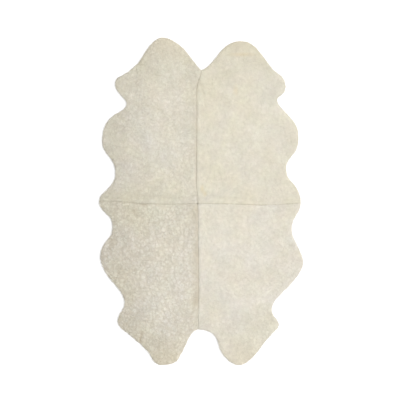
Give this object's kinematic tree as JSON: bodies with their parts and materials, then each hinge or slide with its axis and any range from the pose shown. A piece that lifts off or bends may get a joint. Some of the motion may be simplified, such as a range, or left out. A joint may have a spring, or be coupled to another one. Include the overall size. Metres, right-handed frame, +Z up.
{
  "type": "sheepskin rug",
  "caption": "Flat sheepskin floor rug of cream short curly wool: pelts sewn edge to edge along crossing seams, with lobed neck, leg and belly outlines.",
  "frame": {"origin": "on the floor under the middle of the rug, which is close to where the pelts' seams cross", "axes": "+Y along the rug's length, +X across it, +Z up out of the wool; the hides lie on z = 0"},
  "size_m": [1.1515, 1.8512, 0.0233],
  "materials": {
    "cream_wool": "matt cream curly sheep's wool on its hide"
  },
  "bodies": {
    "root": {"pelt_upper_left": "cream_wool", "pelt_upper_right": "cream_wool", "pelt_lower_left": "cream_wool", "pelt_lower_right": "cream_wool"}
  },
  "joints": []
}
